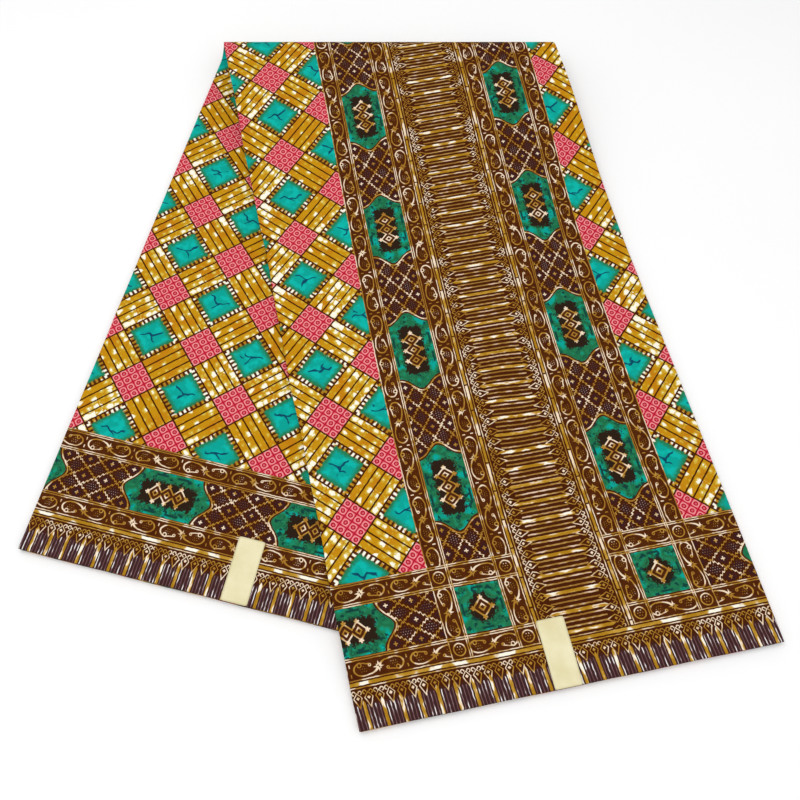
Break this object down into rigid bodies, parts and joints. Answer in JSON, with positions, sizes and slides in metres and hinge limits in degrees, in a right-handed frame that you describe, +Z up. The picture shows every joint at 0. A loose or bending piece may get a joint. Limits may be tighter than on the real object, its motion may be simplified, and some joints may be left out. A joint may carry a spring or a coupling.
{
  "type": "folded african wax print fabric",
  "caption": "Length of printed cotton cloth, folded into a flat strip, doubled over a soft loop at the back and fanned open so that both hems show.",
  "frame": {"origin": "middle of the footprint, on the surface that the cloth lies on", "axes": "+X to the right, +Y away from the viewer towards the fold, +Z up"},
  "size_m": [0.5752, 0.6402, 0.026],
  "materials": {
    "inner_plies": "edges of folded printed cotton, matt",
    "printed_cotton_front": "crisp wax printed cotton, soft calendered sheen",
    "printed_cotton_back": "crisp wax printed cotton, soft calendered sheen",
    "blank_label": "pale gold coated paper, satin"
  },
  "bodies": {
    "root": {"hidden_plies": "inner_plies", "front_cover": "printed_cotton_front", "back_cover": "printed_cotton_back", "front_label": "blank_label", "back_label": "blank_label"}
  },
  "joints": []
}
